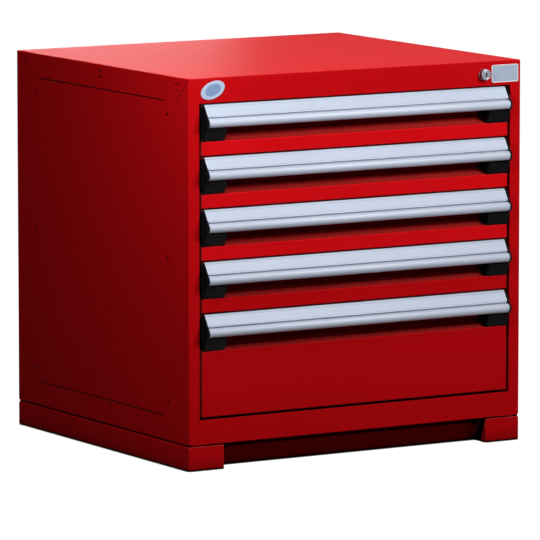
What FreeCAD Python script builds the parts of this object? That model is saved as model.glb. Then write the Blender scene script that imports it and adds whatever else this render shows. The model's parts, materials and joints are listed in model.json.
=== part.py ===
import FreeCAD, Part
import math
import os

# Heavy sheet steel cabinet with five drawers on a low base, built as its separate pieces.
#
# Frame: +Z up, +X to the right of a person who faces the drawers, and the drawers open towards -Y.
# The pieces are drawn with x = 0 in the middle, y = 0 on the front face and z = 0 on the floor.
# write() moves each one so that the origin is the bottom centre of the whole object.
# All sizes are in millimetres.

V = FreeCAD.Vector

# Housing
WIDTH = 762.0
DEPTH = 685.8
HEIGHT = 762.0
HOUSING_BOTTOM = 50.8       # the housing stands on the base at this height
SHEET = 1.5                 # sheet steel of the housing and the base
EDGE = 2.0                  # outer radius of the folded edges
STILE = 24.2                # width of the front frame beside the drawers
TOP_RAIL = 48.8
SILL = 98.6                 # top of the frame's bottom rail
TOP_BAND = 714.2            # the top panel's side flanges end here
BOTTOM_BAND = 98.5          # the floor pan's side flanges end here
FOLD_BACK = 45.0            # the front frame and the back panel wrap round the corners this far
FRAME_TOP = 759.5           # the top panel's rounded front edge begins here
FLANGE = 11.5               # inward flange round the drawer opening
SEAM = 1.1                  # open mitre between two flanges
SLIT = 1.2                  # open slit along the side seams
SLIT_FRONT = 92.0
SLIT_BACK = 597.0

# Holes in the housing
GANG_RADIUS = 3.0           # holes that bolt two cabinets side by side
GANG_YS = (80.0, 609.0)
GANG_ZS = (127.0, 407.0, 687.0)
PIN_RADIUS = 1.25           # small holes, always in pairs
PIN_GAP = 7.6               # between the two holes of a pair
KNOCKOUT_YS = (45.0, 344.0, 647.0)
KNOCKOUT_ZS = (737.0, 749.0)
KNOCKOUT_LENGTH = 16.0
BAND_PAIR_ZS = (74.4, 738.0)
ACCESSORY_YS = (307.0, 383.5)
ACCESSORY_START = 88.5
ACCESSORY_PITCH = 50.8
ACCESSORY_ROWS = 5
TOP_PAIRS = ((304.0, 105.0), (250.0, 55.0), (304.0, 591.0), (250.0, 644.0))

# Base
SKIRT_TOP = 47.5
FOOT_WIDTH = 78.5
SKIRT_FLANGE = 36.0         # width of the skirts' bottom flange
SUPPORT_START = 16.0        # the flange that carries the housing begins this far in
SUPPORT_END = 41.0
TOE_TOP = (20.8, 40.0)      # upper and lower edge of the slanted toe panel, as (y, z)
TOE_FOOT = (47.0, 0.0)
TOE_NOTCH = (19.0, 6.0)     # cut from the toe panel's upper corners, across and down
CHEEK_FOOT = 19.0           # the feet's inner flange is this deep on the floor
CHEEK_HEAD = 3.0            # and this deep at its top
CHEEK_TAB = 12.0            # tab behind each end of the toe panel
CLIP = 4.0                  # clipped corners at the housing's foot and on the base
BOLT_YS = (110.0, 343.0, 575.0)
BOLT_X = 352.0
BOLT_RADIUS = 4.0
BOLT_HOLE = 4.4

# Drawers, from the top down
PITCHES = (101.6, 101.6, 101.6, 101.6, 203.2)
FIRST_TOP = 710.0
GAP = 3.0                   # open gap between two drawer fronts
FRONT_HALF = 351.0          # half the width of a red drawer front
DRAWER_SHEET = 1.2
RECESS = 28.0               # depth of the finger recess behind the handle
LEDGE_FOOT = 72.0           # the slanted ledge under the recess, below the drawer's top
LEDGE_HEAD = 60.0
TRAY_HALF = 340.8
TRAY_BACK = 641.0
TRAY_LIFT = 5.0             # tray floor above the front's lower edge
TRAY_DROP = 8.0             # tray rim below the drawer's top
TRAY_RIM = 6.0

# Handles
HANDLE_HALF = 345.4
HANDLE_WALL = 1.6
SLOPE_BACK = 1.5            # the slope's upper edge lies this far behind the front plane
SLOPE_RUN = 13.5            # the slope comes forward this far
SLOPE_FALL = 22.0           # and down this far, from 1 mm under the drawer's top
SLOPE_END = 25.4            # length of the slope that holds the label
LIP = 0.8                   # raised frame round the label
LIP_WIDTH = 2.8
BULB = (-11.0, -34.5)       # centre of the rounded grip, from the drawer's top
BULB_RADIUS = 9.0
CAP_RADIUS = 10.4           # the end caps stand round the grip
CAP_INNER = 345.4
CAP_OUTER = 348.8
CAP_BLOCK_INNER = 301.4     # the caps' lower blocks reach in to here
CAP_BLOCK_FRONT = -9.7
GROOVE = -6.6               # the handle's wall between the slope and the grip
HANDLE_REACH = CAP_RADIUS - BULB[0]

# Running gear
RAIL_LIFT = 22.0            # rail centre above the drawer front's lower edge
RAIL_SHEET = 1.5
RAIL_HALF_HEIGHT = 12.15    # to the middle of the flanges
ROLLER_RADIUS = 11.0
AXLE_RADIUS = 3.0
AXLE_PLAY = 0.15
FIXED_RAIL = (356.6, 367.25, 24.0, 632.0)     # flange edge, web, front end, back end
DRAWER_RAIL = (351.0, 341.55, 31.0, 641.0)
CARRIAGE = (352.3, 354.3, 32.0, 632.0)        # inner face, outer face, front end, back end
CARRIAGE_HALF_HEIGHT = 9.0
OUTER_ROLLER_YS = (345.0, 600.0)
INNER_ROLLER_YS = (47.0, 290.0)
OUTER_ROLLER = (357.2, 365.6)
INNER_ROLLER = (343.2, 350.6)
POST_YS = ((92.0, 128.0), (556.0, 592.0))
POST_FACE = 368.0

# Lock
LOCK_X = 294.0
LOCK_Z = 736.5
LOCK_RADIUS = 11.0
LOCK_REACH = 10.5
LOCK_BODY_RADIUS = 9.5
PLUG_RADIUS = 7.4
PLUG_BORE = 7.5
LOCK_BACK = 13.0
CAM_RADIUS = 8.0            # from the lock's axis to the cam's pin
CAM_PIN = 2.5
CAM_SLACK = 0.5             # play of the pin in the bar's slot
BAR = (358.0, 370.0, 16.0, 18.5, 105.0)       # inner edge, outer edge, front face, back face, foot
ARM_HALF_HEIGHT = 9.0
HOOK_LIFT = 45.0            # hooks above each drawer front's lower edge
HOOK_HEIGHT = 8.0
HOOK_BACK = 34.0
HOOK_TIP = 345.0
CATCH_LIFT = 54.5
GUIDE_ZS = (105.0, 404.0, 700.0)

# Plates on the top rail
LABEL = (312.4, 375.0, 719.0, 754.0)
LABEL_CORNER = 3.5
BADGE_CENTRE = (-327.0, 738.0)
BADGE_HALF_WIDTH = 27.5
BADGE_HALF_HEIGHT = 16.5
BADGE_TILT = 20.0            # degrees

HALF = WIDTH / 2
OPENING = HALF - STILE
OPENING_TOP = HEIGHT - TOP_RAIL
INSIDE = HALF - SHEET
CAM_DROP = CAM_RADIUS * math.sin(math.radians(45))

# Where a flat outline (u, v) lies when its prism runs along x, y or z.
PLACES = {
    "x": lambda u, v, w: V(w, u, v),
    "y": lambda u, v, w: V(u, w, v),
    "z": lambda u, v, w: V(u, v, w),
}


def box(x0, x1, y0, y1, z0, z1):
    return Part.makeBox(x1 - x0, y1 - y0, z1 - z0, V(x0, y0, z0))


def rod(radius, start, end):
    """Cylinder from one point to another."""
    along = V(*end) - V(*start)
    return Part.makeCylinder(radius, along.Length, V(*start), along)


def mirrored(shape):
    """The same piece on the other side of the cabinet."""
    return shape.mirror(V(0, 0, 0), V(1, 0, 0))


def both_sides(shape):
    return [shape, mirrored(shape)]


def joined(shapes):
    """One solid from several that touch."""
    return shapes[0].multiFuse(shapes[1:]).removeSplitter()


def extruded(edges, axis, start, end):
    place = PLACES[axis]
    face = Part.Face(Part.Wire(Part.__sortEdges__(edges)))
    return face.extrude(place(0, 0, end) - place(0, 0, start))


def prism(points, axis, start, end):
    """Straight prism whose outline is a list of (u, v) corners."""
    place = PLACES[axis]
    corners = [place(u, v, start) for u, v in points]
    edges = [Part.makeLine(a, b) for a, b in zip(corners, corners[1:] + corners[:1])]
    return extruded(edges, axis, start, end)


def rounded_box(corner, far, radius, chosen):
    """Box from corner to far, with the edges rounded whose middle point is chosen."""
    block = box(corner[0], far[0], corner[1], far[1], corner[2], far[2])
    edges = [edge for edge in block.Edges if chosen(edge.CenterOfMass)]
    return block.makeFillet(radius, edges)


def unit(a, b):
    length = math.hypot(b[0] - a[0], b[1] - a[1])
    return ((b[0] - a[0]) / length, (b[1] - a[1]) / length)


def shifted(point, direction, distance):
    return (point[0] + direction[0] * distance, point[1] + direction[1] * distance)


def sheet_side(path, offset):
    """One face of a folded sheet, as pieces: two points make a line and three make a bend."""
    points = [(u, v) for u, v, bend in path]
    ways = [unit(a, b) for a, b in zip(points, points[1:])]
    normals = [(-way[1], way[0]) for way in ways]
    pieces = []
    last = shifted(points[0], normals[0], offset)
    for index in range(1, len(points) - 1):
        way_in, way_out = ways[index - 1], ways[index]
        turn = math.acos(way_in[0] * way_out[0] + way_in[1] * way_out[1])
        bend = path[index][2]
        run = bend * math.tan(turn / 2)
        before = shifted(points[index], way_in, -run)
        after = shifted(points[index], way_out, run)
        bisector = unit(ways[index - 1], ways[index])
        rise = bend / math.cos(turn / 2) - bend
        middle = shifted(points[index], bisector, rise)
        mid_normal = unit((0, 0), (normals[index - 1][0] + normals[index][0],
                                   normals[index - 1][1] + normals[index][1]))
        before = shifted(before, normals[index - 1], offset)
        middle = shifted(middle, mid_normal, offset)
        after = shifted(after, normals[index], offset)
        pieces.append((last, before))
        pieces.append((before, middle, after))
        last = after
    pieces.append((last, shifted(points[-1], normals[-1], offset)))
    return pieces


def bent_sheet(path, thickness, axis, start, end):
    """Folded sheet. Its path is the middle line of its section, as (u, v, bend radius)."""
    place = PLACES[axis]
    sides = [sheet_side(path, thickness / 2), sheet_side(path, -thickness / 2)]
    ends = [(sides[0][0][0], sides[1][0][0]), (sides[0][-1][-1], sides[1][-1][-1])]
    edges = []
    for piece in sides[0] + sides[1] + ends:
        corners = [place(u, v, start) for u, v in piece]
        if len(corners) == 3:
            edges.append(Part.Arc(*corners).toShape())
        elif (corners[1] - corners[0]).Length > 0.001:
            edges.append(Part.makeLine(*corners))
    return extruded(edges, axis, start, end)


def clipped_corners(shape, level, rise):
    """Clip the four outer corners at a level, upwards for a positive rise."""
    clips = []
    for x in (-HALF, HALF):
        for y in (0.0, DEPTH):
            inward = (-math.copysign(CLIP, x), CLIP if y == 0.0 else -CLIP)
            tip = V(x, y, level)
            ends = [tip + V(inward[0], 0, 0), tip + V(0, inward[1], 0), tip + V(0, 0, rise)]
            faces = [Part.Face(Part.makePolygon([a, b, c, a])) for a, b, c in
                     ((ends[0], ends[1], ends[2]), (tip, ends[0], ends[1]),
                      (tip, ends[1], ends[2]), (tip, ends[0], ends[2]))]
            clips.append(Part.makeSolid(Part.makeShell(faces)))
    return shape.cut(clips)


def hole_pair(x, y, z, way, along):
    """Two small holes through a sheet; way is the holes' axis, along the line between them."""
    centre = V(x, y, z)
    holes = []
    for side in (-0.5, 0.5):
        start = centre + along * (PIN_GAP * side) - way * 3
        holes.append(Part.makeCylinder(PIN_RADIUS, 6, start, way))
    return holes


def side_hole_pairs(y, z):
    return hole_pair(-HALF, y, z, V(1, 0, 0), V(0, 0, 1)) + hole_pair(HALF, y, z, V(1, 0, 0), V(0, 0, 1))


def accessory_levels():
    return [ACCESSORY_START + ACCESSORY_PITCH * row for row in range(ACCESSORY_ROWS)]


def top_panel():
    """Cap with flanges down its sides and back, mitred at the front against the front frame."""
    def folded(middle):
        return middle.z > HEIGHT - 0.1 or (abs(middle.x) > HALF - 0.1 and middle.z < HEIGHT - 1)
    outer = rounded_box((-HALF, 0, TOP_BAND), (HALF, DEPTH, HEIGHT), EDGE,
                        lambda m: folded(m) and not (m.z < TOP_BAND + 0.1))
    cuts = [box(-INSIDE, INSIDE, SHEET, DEPTH - SHEET, 0, HEIGHT - SHEET)]
    cuts.append(box(-HALF, HALF, -1, EDGE, 0, FRAME_TOP))
    cuts.append(prism([(-1, FRAME_TOP), (0, FRAME_TOP), (FOLD_BACK, TOP_BAND), (-1, TOP_BAND - 1)],
                      "x", -HALF - 1, HALF + 1))
    for y in KNOCKOUT_YS:
        for z in KNOCKOUT_ZS:
            cuts.append(box(-HALF - 1, HALF + 1, y - KNOCKOUT_LENGTH / 2, y + KNOCKOUT_LENGTH / 2,
                            z - SLIT / 2, z + SLIT / 2))
    for y in GANG_YS:
        cuts += side_hole_pairs(y, BAND_PAIR_ZS[1])
    for x, y in TOP_PAIRS:
        for side in (-1, 1):
            cuts += hole_pair(side * x, y, HEIGHT, V(0, 0, 1), V(1, 0, 0))
    return outer.cut(cuts)


def front_frame():
    """Stiles and rails in one face, wrapped round the corners, flanged round the opening."""
    outer = rounded_box((-HALF, 0, HOUSING_BOTTOM), (HALF, FOLD_BACK, FRAME_TOP), EDGE,
                        lambda m: abs(m.x) > HALF - 0.1 and m.y < 0.1)
    cuts = [box(-INSIDE, INSIDE, SHEET, FOLD_BACK + 1, HOUSING_BOTTOM - 1, FRAME_TOP + 1)]
    cuts.append(box(-OPENING, OPENING, -1, SHEET + 1, SILL, OPENING_TOP))
    cuts.append(prism([(EDGE, FRAME_TOP + 1), (EDGE, FRAME_TOP - EDGE - SEAM),
                       (FOLD_BACK + 1, TOP_BAND - SEAM - 1), (FOLD_BACK + 1, FRAME_TOP + 1)],
                      "x", -HALF - 1, HALF + 1))
    cuts.append(rod(LOCK_BODY_RADIUS + 0.2, (LOCK_X, -1, LOCK_Z), (LOCK_X, SHEET + 1, LOCK_Z)))
    face = outer.cut(cuts)
    flange_back = SHEET + FLANGE
    collar = box(-OPENING - SHEET, OPENING + SHEET, SHEET, flange_back, SILL - SHEET, OPENING_TOP + SHEET)
    collar = collar.cut(box(-OPENING, OPENING, 0, flange_back + 1, SILL, OPENING_TOP))
    return clipped_corners(joined([face, collar]), HOUSING_BOTTOM, CLIP)


def side_panel():
    """Left side, between the front frame's fold and the back panel's, with its slits and holes."""
    back = DEPTH - FOLD_BACK
    panel = box(-HALF, -INSIDE, FOLD_BACK, back, BOTTOM_BAND, TOP_BAND)
    cuts = [box(-HALF - 1, -INSIDE + 1, SLIT_FRONT, SLIT_BACK, TOP_BAND - SLIT, TOP_BAND + 1)]
    cuts.append(box(-HALF - 1, -INSIDE + 1, SLIT_FRONT, SLIT_BACK, BOTTOM_BAND - 1, BOTTOM_BAND + SLIT))
    for y in GANG_YS:
        for z in GANG_ZS:
            cuts.append(rod(GANG_RADIUS, (-HALF - 1, y, z), (-INSIDE + 1, y, z)))
    for y in ACCESSORY_YS:
        for z in accessory_levels()[1:]:
            cuts += hole_pair(-HALF, y, z, V(1, 0, 0), V(0, 0, 1))
    return panel.cut(cuts)


def floor_pan():
    """Floor with flanges up the sides, mitred at the back against the back panel."""
    half_sheet = SHEET / 2
    bend = EDGE - half_sheet
    level = HOUSING_BOTTOM + half_sheet
    path = [(-HALF + half_sheet, BOTTOM_BAND, 0), (-HALF + half_sheet, level, bend),
            (HALF - half_sheet, level, bend), (HALF - half_sheet, BOTTOM_BAND, 0)]
    tub = bent_sheet(path, SHEET, "y", FOLD_BACK, DEPTH - SHEET)
    strip = box(-INSIDE, INSIDE, SHEET, FOLD_BACK, HOUSING_BOTTOM, HOUSING_BOTTOM + SHEET)
    back = DEPTH - FOLD_BACK
    cuts = [prism([(back, BOTTOM_BAND), (DEPTH - EDGE, HOUSING_BOTTOM + EDGE), (DEPTH, HOUSING_BOTTOM + EDGE),
                   (DEPTH, BOTTOM_BAND + 1), (back, BOTTOM_BAND + 1)], "x", -HALF - 1, HALF + 1)]
    for y in GANG_YS:
        cuts += side_hole_pairs(y, BAND_PAIR_ZS[0])
    for y in ACCESSORY_YS:
        cuts += side_hole_pairs(y, ACCESSORY_START)
    for x, y in base_bolt_places():
        cuts.append(rod(BOLT_HOLE, (x, y, HOUSING_BOTTOM - 1), (x, y, HOUSING_BOTTOM + SHEET + 1)))
    return joined([tub, strip]).cut(cuts)


def back_panel():
    """Back, wrapped round the rear corners, between the floor pan and the top panel."""
    front = DEPTH - FOLD_BACK
    outer = rounded_box((-HALF, front, HOUSING_BOTTOM), (HALF, DEPTH, TOP_BAND), EDGE,
                        lambda m: abs(m.x) > HALF - 0.1 and m.y > DEPTH - 0.1)
    inside = box(-INSIDE, INSIDE, front - 1, DEPTH - SHEET, HOUSING_BOTTOM - 1, TOP_BAND + 1)
    mitre = prism([(front - 1, HOUSING_BOTTOM - 1), (DEPTH - EDGE, HOUSING_BOTTOM - 1),
                   (DEPTH - EDGE, HOUSING_BOTTOM + EDGE + SEAM), (front, BOTTOM_BAND + SEAM),
                   (front - 1, BOTTOM_BAND + SEAM)], "x", -HALF - 1, HALF + 1)
    wrap = outer.cut([inside, mitre])
    return clipped_corners(wrap, HOUSING_BOTTOM, CLIP)


def corner_posts():
    """Four upright channels against the sides, which carry the fixed rails."""
    half_sheet = SHEET / 2
    web = -POST_FACE - half_sheet
    posts = []
    for front, back in POST_YS:
        path = [(-INSIDE, front + half_sheet, 0), (web, front + half_sheet, EDGE - half_sheet),
                (web, back - half_sheet, EDGE - half_sheet), (-INSIDE, back - half_sheet, 0)]
        post = bent_sheet(path, SHEET, "z", HOUSING_BOTTOM + SHEET, HEIGHT - SHEET)
        posts += both_sides(post)
    return posts


def channel(edge, web, front, back, level):
    """Rail channel on the left side, open towards its flange edges."""
    bend = EDGE - RAIL_SHEET / 2
    path = [(-edge, level - RAIL_HALF_HEIGHT, 0), (-web, level - RAIL_HALF_HEIGHT, bend),
            (-web, level + RAIL_HALF_HEIGHT, bend), (-edge, level + RAIL_HALF_HEIGHT, 0)]
    return bent_sheet(path, RAIL_SHEET, "y", front, back)


def fixed_rails(levels):
    rails = []
    for level in levels:
        rails += both_sides(channel(*FIXED_RAIL, level))
    return rails


def carriage_rails(level):
    """Middle members of one drawer's slides, each a bar with four roller axles."""
    inner, outer, front, back = CARRIAGE
    bar = box(-outer, -inner, front, back, level - CARRIAGE_HALF_HEIGHT, level + CARRIAGE_HALF_HEIGHT)
    shapes = [bar]
    for y in OUTER_ROLLER_YS:
        shapes.append(rod(AXLE_RADIUS, (-inner - 0.5, y, level), (-OUTER_ROLLER[1] - 0.4, y, level)))
        shapes.append(rod(AXLE_RADIUS + 2, (-outer, y, level), (-OUTER_ROLLER[0] + 0.4, y, level)))
    for y in INNER_ROLLER_YS:
        shapes.append(rod(AXLE_RADIUS, (-outer + 0.5, y, level), (-INNER_ROLLER[0] + 0.4, y, level)))
        shapes.append(rod(AXLE_RADIUS + 2, (-inner, y, level), (-INNER_ROLLER[1] - 0.4, y, level)))
    return both_sides(joined(shapes))


def roller(span, y, level):
    start, end = span
    wheel = rod(ROLLER_RADIUS, (-end, y, level), (-start, y, level))
    wheel = wheel.makeChamfer(0.8, [e for e in wheel.Edges if e.Length > ROLLER_RADIUS * 5])
    return wheel.cut(rod(AXLE_RADIUS + AXLE_PLAY, (-end - 1, y, level), (-start + 1, y, level)))


def carriage_rollers(level):
    rollers = [roller(OUTER_ROLLER, y, level) for y in OUTER_ROLLER_YS]
    rollers += [roller(INNER_ROLLER, y, level) for y in INNER_ROLLER_YS]
    return rollers + [mirrored(one) for one in rollers]


def drawer_rails(level):
    return both_sides(channel(*DRAWER_RAIL, level))


def drawer_tray(top, bottom):
    """Open tray with a rim turned outwards and, on its right side, the catch for the lock bar."""
    front = RECESS + DRAWER_SHEET
    low = bottom + TRAY_LIFT
    high = top - TRAY_DROP
    tub = rounded_box((-TRAY_HALF, front, low), (TRAY_HALF, TRAY_BACK, high), EDGE,
                      lambda m: m.z < high - 0.1)
    inside = rounded_box((-TRAY_HALF + DRAWER_SHEET, front + DRAWER_SHEET, low + DRAWER_SHEET),
                         (TRAY_HALF - DRAWER_SHEET, TRAY_BACK - DRAWER_SHEET, high + 5), EDGE - DRAWER_SHEET,
                         lambda m: m.z < high)
    rim = box(-TRAY_HALF - TRAY_RIM, -TRAY_HALF + DRAWER_SHEET, front + 2, TRAY_BACK - EDGE,
              high - DRAWER_SHEET, high)
    catch = box(TRAY_HALF - DRAWER_SHEET, TRAY_HALF + TRAY_RIM + 2, HOOK_BACK + 2, HOOK_BACK + 5,
                bottom + CATCH_LIFT, bottom + CATCH_LIFT + HOOK_HEIGHT)
    return joined([tub.cut(inside), rim, mirrored(rim), catch])


def drawer_front(top, bottom):
    """Folded front: face, slanted ledge, back of the finger recess and the flange over it."""
    half_sheet = DRAWER_SHEET / 2
    bend = EDGE - half_sheet
    cap = top - HANDLE_WALL - half_sheet
    path = [(RECESS + DRAWER_SHEET, bottom + half_sheet, 0), (half_sheet, bottom + half_sheet, bend),
            (half_sheet, top - LEDGE_FOOT, bend), (RECESS + half_sheet, top - LEDGE_HEAD, bend),
            (RECESS + half_sheet, cap, bend), (SLOPE_BACK + 3, cap, 0)]
    sheet = bent_sheet(path, DRAWER_SHEET, "x", -FRONT_HALF, FRONT_HALF)
    end = box(-FRONT_HALF, -FRONT_HALF + DRAWER_SHEET, DRAWER_SHEET / 2, 14,
              bottom + half_sheet, top - LEDGE_FOOT - 2)
    outline = rounded_box((-FRONT_HALF, 0, bottom), (FRONT_HALF, RECESS + 2, top), EDGE,
                          lambda m: abs(m.x) > FRONT_HALF - 0.1 and m.y < 0.1 and abs(m.z - top) > 1)
    return joined([sheet, end, mirrored(end)]).common(outline)


def slope_point(top, along, out):
    """Point on the handle's slope, along it from its upper edge and out from its label frame."""
    length = math.hypot(SLOPE_RUN, SLOPE_FALL)
    run, fall = SLOPE_RUN / length, SLOPE_FALL / length
    return (SLOPE_BACK - run * along - fall * out, top - 1 - fall * along + run * out)


def slope_strip(top, first, last, low, high, x0, x1):
    corners = [slope_point(top, first, low), slope_point(top, last, low),
               slope_point(top, last, high), slope_point(top, first, high)]
    return prism(corners, "x", x0, x1)


def handle(top):
    """Extruded handle: a leg on the front's flange, the slope, a groove and the rounded grip."""
    half_wall = HANDLE_WALL / 2
    depth = -LIP - half_wall
    head = slope_point(top, 0, depth)
    foot = slope_point(top, SLOPE_END - 0.6, depth)
    leg_z = top - half_wall
    corner_y = head[0] + (leg_z - head[1]) * SLOPE_RUN / SLOPE_FALL
    radius = BULB_RADIUS - half_wall
    nose = BULB[0] - radius
    high = top + BULB[1] + radius
    low = top + BULB[1] - radius
    path = [(13, leg_z, 0), (corner_y, leg_z, 1.2), (foot[0], foot[1], 0.9), (GROOVE, foot[1] - 1.4, 0.9),
            (GROOVE, high, 0.9), (nose, high, radius), (nose, low, radius), (GROOVE + 0.7, low, 0)]
    shapes = [bent_sheet(path, HANDLE_WALL, "x", -HANDLE_HALF, HANDLE_HALF)]
    sunk = -LIP - 0.2
    shapes.append(slope_strip(top, 0.3, LIP_WIDTH, sunk, 0, -HANDLE_HALF, HANDLE_HALF))
    shapes.append(slope_strip(top, SLOPE_END - LIP_WIDTH, SLOPE_END, sunk, 0, -HANDLE_HALF, HANDLE_HALF))
    lip = slope_strip(top, 0.3, SLOPE_END, sunk, 0, -HANDLE_HALF, -HANDLE_HALF + LIP_WIDTH)
    return joined(shapes + both_sides(lip))


def label_strip(top):
    """Blank strip that lies inside the slope's raised frame."""
    half = HANDLE_HALF - LIP_WIDTH - 0.3
    return slope_strip(top, LIP_WIDTH + 0.3, SLOPE_END - LIP_WIDTH - 0.3, -LIP, -0.3, -half, half)


def end_cap(top):
    """Left end cap: an outer plate round the handle's end, a wall in the recess, a lower block."""
    def rim_point(degrees):
        angle = math.radians(degrees)
        return (BULB[0] + CAP_RADIUS * math.cos(angle), top + BULB[1] + CAP_RADIUS * math.sin(angle))
    place = PLACES["x"]
    start = -CAP_OUTER
    arc = [place(*rim_point(degrees), start) for degrees in (125, 180, 232)]
    run = [(0, top), rim_point(125)]
    tail = [rim_point(232), (CAP_BLOCK_FRONT, top - 50), (CAP_BLOCK_FRONT, top - 54),
            (0, top - LEDGE_FOOT), (0, top)]
    edges = [Part.makeLine(place(*run[0], start), place(*run[1], start)), Part.Arc(*arc).toShape()]
    for a, b in zip(tail, tail[1:]):
        edges.append(Part.makeLine(place(*a, start), place(*b, start)))
    plate = extruded(edges, "x", start, -CAP_INNER)
    boss_centre = (BULB[0], top + BULB[1])
    boss = rod(6.5, (-CAP_OUTER - 0.6, *boss_centre), (-CAP_OUTER + 1, *boss_centre))
    ledge_rise = LEDGE_FOOT - LEDGE_HEAD
    wall = prism([(0, top - 9.5), (SLOPE_BACK + 3, top - 4.5), (RECESS - 0.2, top - 4.5),
                  (RECESS - 0.2, top - LEDGE_HEAD + 1.5), (0, top - LEDGE_FOOT + 1.5)],
                 "x", -FRONT_HALF + 0.2, -CAP_INNER + 1)
    block = prism([(RECESS - 0.2, top - 46), (CAP_BLOCK_FRONT, top - 46), (CAP_BLOCK_FRONT, top - 54),
                   (0, top - LEDGE_FOOT + 1),
                   (RECESS - 0.2, top - LEDGE_FOOT + 1 + ledge_rise)],
                  "x", -CAP_INNER, -CAP_BLOCK_INNER)
    return joined([plate, boss, wall, block])


def skirt():
    """Left skirt of the base with its front foot, rear corner and the flange under the housing."""
    half_sheet = SHEET / 2
    bend = EDGE - half_sheet
    side = -HALF + half_sheet
    shelf = SKIRT_TOP - half_sheet
    support = HOUSING_BOTTOM - half_sheet
    path = [(-HALF + SKIRT_FLANGE, half_sheet, 0), (side, half_sheet, bend), (side, shelf, bend),
            (-HALF + SUPPORT_START, shelf, bend), (-HALF + SUPPORT_START, support, bend),
            (-HALF + SUPPORT_END, support, 0)]
    shapes = [bent_sheet(path, SHEET, "y", SHEET / 2, DEPTH - SHEET / 2)]
    inner = -HALF + FOOT_WIDTH
    shapes.append(box(-HALF, inner, 0, SHEET, 0, SKIRT_TOP))
    shapes.append(box(-HALF, inner, 0, TOE_FOOT[0] + CHEEK_TAB, 0, SHEET))
    shapes.append(prism([(0, 0), (CHEEK_FOOT, 0), (CHEEK_HEAD, SKIRT_TOP), (0, SKIRT_TOP)],
                        "x", inner - SHEET, inner))
    tab = [TOE_FOOT, (TOE_FOOT[0] + CHEEK_TAB, 0), (TOE_TOP[0] + CHEEK_TAB, TOE_TOP[1]), TOE_TOP]
    shapes.append(prism(tab, "x", inner - SHEET, inner))
    shapes.append(box(-HALF, -HALF + SUPPORT_END, DEPTH - SHEET, DEPTH, 0, SKIRT_TOP))
    outline = rounded_box((-HALF, 0, 0), (0, DEPTH, HOUSING_BOTTOM), EDGE,
                          lambda m: (m.x < -HALF + 0.1 and (m.y < 0.1 or m.y > DEPTH - 0.1))
                          or (m.y < 0.1 and m.z < 0.1))
    holes = [rod(BOLT_HOLE, (x, y, SKIRT_TOP - 1), (x, y, HOUSING_BOTTOM + 1))
             for x, y in base_bolt_places()]
    body = joined(shapes).common(outline).cut(holes)
    return clipped_corners(clipped_corners(body, 0.0, CLIP), SKIRT_TOP, -CLIP)


def toe_panel():
    """Slanted panel between the feet, with a flange on the floor and one under the housing."""
    half_sheet = SHEET / 2
    bend = EDGE - half_sheet
    inner = HALF - FOOT_WIDTH
    back = 0.9                  # the panel's middle line lies this far behind its face
    path = [(80, half_sheet, 0), (TOE_FOOT[0] + back, half_sheet, bend),
            (TOE_TOP[0] + back, TOE_TOP[1] - half_sheet, bend), (40, TOE_TOP[1] - half_sheet, bend),
            (40, HOUSING_BOTTOM - half_sheet, bend), (70, HOUSING_BOTTOM - half_sheet, 0)]
    notch = box(-inner, TOE_NOTCH[0] - inner, 0, DEPTH / 2, TOE_TOP[1] - TOE_NOTCH[1], HOUSING_BOTTOM)
    return bent_sheet(path, SHEET, "x", -inner, inner).cut(both_sides(notch))


def rear_panel():
    """Back of the base between the skirts' rear corners."""
    half_sheet = SHEET / 2
    bend = EDGE - half_sheet
    face = DEPTH - half_sheet
    support = HOUSING_BOTTOM - half_sheet
    path = [(DEPTH - SKIRT_FLANGE, half_sheet, 0), (face, half_sheet, bend),
            (face, SKIRT_TOP - half_sheet, bend), (DEPTH - SUPPORT_START, SKIRT_TOP - half_sheet, bend),
            (DEPTH - SUPPORT_START, support, bend), (DEPTH - SUPPORT_END, support, 0)]
    half = HALF - SUPPORT_END - 0.2
    return bent_sheet(path, SHEET, "x", -half, half)


def base_bolt_places():
    return [(side * BOLT_X, y) for side in (-1, 1) for y in BOLT_YS]


def hexagon(x, y, z0, z1, across):
    radius = across / math.sqrt(3)
    corners = [(x + radius * math.cos(math.radians(60 * k)), y + radius * math.sin(math.radians(60 * k)))
               for k in range(6)]
    return prism(corners, "z", z0, z1)


def base_bolts():
    """Hexagon bolts down through the floor pan and the skirts, each with its nut."""
    pan_top = HOUSING_BOTTOM + SHEET
    flange_under = HOUSING_BOTTOM - SHEET
    pieces = []
    for x, y in base_bolt_places():
        shank = rod(BOLT_RADIUS, (x, y, flange_under - 9), (x, y, pan_top + 1))
        pieces.append(joined([hexagon(x, y, pan_top, pan_top + 5.3, 13), shank]))
        nut = hexagon(x, y, flange_under - 6.5, flange_under, 13)
        pieces.append(nut.cut(rod(BOLT_RADIUS + 0.05, (x, y, flange_under - 8), (x, y, flange_under + 1))))
    return pieces


def lock_housing():
    """Fixed barrel of the lock: a round head in front of the rail and a body behind it."""
    head = rod(LOCK_RADIUS, (LOCK_X, -LOCK_REACH, LOCK_Z), (LOCK_X, 0, LOCK_Z))
    rim = [edge for edge in head.Edges if edge.CenterOfMass.y < -LOCK_REACH + 0.1]
    head = head.makeFillet(1.2, rim)
    barrel = rod(LOCK_BODY_RADIUS, (LOCK_X, -1, LOCK_Z), (LOCK_X, LOCK_BACK - 0.5, LOCK_Z))
    nut = rod(LOCK_BODY_RADIUS + 4, (LOCK_X, SHEET, LOCK_Z), (LOCK_X, SHEET + 4, LOCK_Z))
    bore = rod(PLUG_BORE, (LOCK_X, -LOCK_REACH - 1, LOCK_Z), (LOCK_X, LOCK_BACK + 1, LOCK_Z))
    return joined([head, barrel, nut]).cut(bore)


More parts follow.
